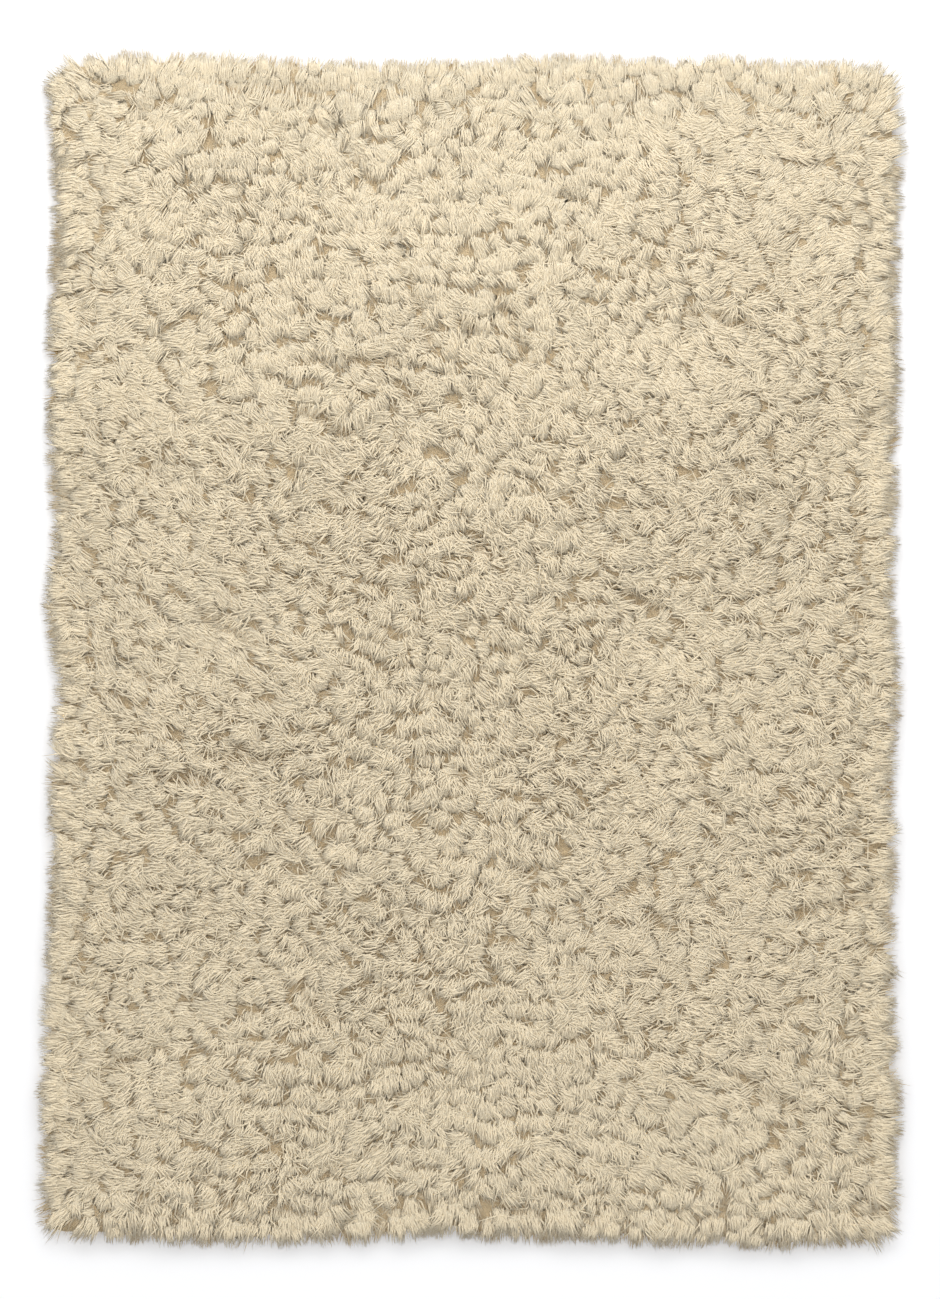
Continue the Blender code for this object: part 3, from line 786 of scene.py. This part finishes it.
def backing_material(fibres):
    """Plain woven back: bands of threads both ways, the higher of the two on top, fine fibres on them."""
    material, tree, shader = plain_material("woven_back", DULL)
    position = tree.nodes.new("ShaderNodeTexCoord").outputs["Object"]
    threads = []
    for way in ("X", "Y"):
        bands = tree.nodes.new("ShaderNodeTexWave")
        bands.bands_direction = way
        # At scale 1 the node's bands are pi / 10 of a metre apart.
        bands.inputs["Scale"].default_value = np.pi / (10 * THREAD_PITCH)
        link(tree, position, bands.inputs["Vector"])
        threads.append(bands.outputs["Fac"])
    woven = math_node(tree, "MAXIMUM", threads[0], threads[1])
    curls = add_group(tree, fibres, {"Curl Size": 0.003}, {"Position": position})
    fuzz = math_node(tree, "MULTIPLY", curls.outputs["Height"], 0.4)
    ramp = colour_ramp(tree, 0.0, BACK_BETWEEN, 1.0, BACK_THREAD)
    link(tree, math_node(tree, "ADD", math_node(tree, "MULTIPLY", woven, 0.6), fuzz), ramp.inputs["Fac"])
    link(tree, ramp.outputs["Color"], shader.inputs["Base Color"])
    bump = tree.nodes.new("ShaderNodeBump")
    bump.inputs["Distance"].default_value = 0.0006
    link(tree, woven, bump.inputs["Height"])
    link(tree, bump.outputs["Normal"], shader.inputs["Normal"])
    return material


# ---------------------------------------------------------------------------------------------------
# The rug
# ---------------------------------------------------------------------------------------------------
SEED = 14
STRAND_PIECES = 5                              # so that each stays under 200,000 triangles
INNER_LOCKS = {"low": 0.010, "high": 9.0}      # kept this deep in from the backing's edge, up to the middle
RIM_LOCKS = {"low": -0.004, "high": 0.036}     # and the rim's locks, in a band along that edge
FILLING_SHARES = (0.27, 0.30)                  # twice, this part of the thin places gets a lock
EXTRA_TURN = 60                                # degrees by which those locks turn out of the pile's lie
EXTRA_BACK = 0.65                              # part of its reach by which such a root is moved back

chance = np.random.default_rng(SEED)
fibres, tone_and_painted_shade = fibre_group(), tone_and_painted_shade_group()
yarn = yarn_material("cream_pile", tone_and_painted_shade)
matted = yarn_material("matted_pile", tone_and_painted_shade, fibres)
bed = laid_sheet("pile_bed", BACKING_INSET, BACKING_CORNER_RADIUS, BED_CELLS, SHEET_BACK, bed_height)
bed.data.materials.append(matted)
bed.data.materials.append(backing_material(fibres))
bed.data.polygons[-1].material_index = 1

locks = comb_locks(*lock_roots(LOCK_PITCH, chance, **INNER_LOCKS), chance, rows=True)
rim_locks = comb_locks(*lock_roots(RIM_LOCK_PITCH, chance, **RIM_LOCKS), chance, RIM_LOCK_HALF_WIDTH)
locks = join_locks(locks, rim_locks)
for share in FILLING_SHARES:
    path, shade = grow_strands(locks, chance)
    x, y = thin_places(path)
    some = chance.uniform(0, 1, len(x)) < share
    extra = comb_locks(x[some], y[some], chance)
    turn = np.radians(EXTRA_TURN) * chance.uniform(-1, 1, len(extra["x"]))
    extra["heading"] = extra["heading"] + turn
    extra["reach"] = np.minimum(extra["reach"], LOCK_REACH)
    extra["x"] = extra["x"] - EXTRA_BACK * extra["reach"] * np.cos(extra["heading"])
    extra["y"] = extra["y"] - EXTRA_BACK * extra["reach"] * np.sin(extra["heading"])
    locks = join_locks(locks, extra)
order = np.argsort(locks["y"], kind="stable")
locks = {key: values[order] for key, values in locks.items()}
path, shade = grow_strands(locks, chance)
middle_height = middle_height_of(path)
mat = laid_sheet(
    "pile_mat", MAT_INSET, CORNER_RADIUS - MAT_INSET, MAT_CELLS, MAT_BACK,
    lambda x, y: middle_height(x, y) - MAT_DEPTH * ruffle(x, y) ** 1.5,
)
mat.data.materials.append(matted)
core = core_piece(locks, middle_height)
core.data.materials.append(matted)
strands = [mat, core]
for k, some in enumerate(np.array_split(np.arange(len(path)), STRAND_PIECES)):
    piece = strand_piece(f"pile_strands_{k + 1}", path[some], shade[some], middle_height, chance)
    piece.data.materials.append(yarn)
    strands.append(piece)

for piece in [bed] + strands:
    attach(piece, "root")
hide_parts("shag_rug")

# ---------------------------------------------------------------------------------------------------
# Floor, light and camera
# ---------------------------------------------------------------------------------------------------
FLOOR_HALF = 8.0
FLOOR_DROP = 0.0005           # the floor lies this far under the rug
WINDOW_SIZE = (4.0, 1.5)      # the soft window hangs past the +Y end and shines down on the rug
WINDOW_PLACE = (0.0, 2.7, 2.6)
WINDOW_TILT = -36             # degrees
WINDOW_WATTS = 56
SKY_LEVEL = 0.24              # strength of the white sky at the horizon
SKY_OVERHEAD = 0.88           # added straight above
SKY_BEYOND = 0.24             # added towards +Y

corners = [(-1, -1), (1, -1), (1, 1), (-1, 1)]
floor_mesh = bpy.data.meshes.new("floor")
floor_mesh.from_pydata([(FLOOR_HALF * x, FLOOR_HALF * y, 0) for x, y in corners], [], [(0, 1, 2, 3)])
floor = bpy.data.objects.new("floor", floor_mesh)
bpy.context.scene.collection.objects.link(floor)
floor.location.z = -FLOOR_DROP
floor_mesh.materials.append(plain_material("studio_floor", STUDIO_FLOOR)[0])

world = bpy.data.worlds.new("studio")
world.use_nodes = True
sky = world.node_tree
sky.nodes["Background"].inputs["Color"].default_value = (1, 1, 1, 1)
way = sky.nodes.new("ShaderNodeSeparateXYZ")
link(sky, sky.nodes.new("ShaderNodeTexCoord").outputs["Generated"], way.inputs[0])
strength = math_node(sky, "ADD", math_node(sky, "MULTIPLY", way.outputs["Z"], SKY_OVERHEAD), SKY_LEVEL)
strength = math_node(sky, "ADD", math_node(sky, "MULTIPLY", way.outputs["Y"], SKY_BEYOND), strength)
link(sky, strength, sky.nodes["Background"].inputs["Strength"])
bpy.context.scene.world = world

window = bpy.data.lights.new("soft_window", "AREA")
window.shape = "RECTANGLE"
window.size, window.size_y = WINDOW_SIZE
window.energy = WINDOW_WATTS
window_lamp = bpy.data.objects.new("soft_window", window)
window_lamp.location = WINDOW_PLACE
window_lamp.rotation_euler = (np.radians(WINDOW_TILT), 0.0, 0.0)
bpy.context.scene.collection.objects.link(window_lamp)

CAMERA_LENS = 100.0           # mm
SENSOR_LENGTH = 36.0          # mm along the photo's height
PHOTO_HEIGHT = 1299           # pixels
PIXEL_SIZE = 0.00172          # metres of the rug to a pixel
CAMERA_X = 0.001              # the camera stands this far to the right of the rug's middle
camera_data = bpy.data.cameras.new("camera")
camera_data.lens = CAMERA_LENS
camera_data.sensor_fit = "AUTO"
camera = bpy.data.objects.new("camera", camera_data)
camera.location = (CAMERA_X, 0.0, PHOTO_HEIGHT * PIXEL_SIZE * CAMERA_LENS / SENSOR_LENGTH)
bpy.context.scene.collection.objects.link(camera)
bpy.context.scene.camera = camera
bpy.context.scene.view_settings.view_transform = "Standard"
bpy.context.scene.view_settings.look = "None"
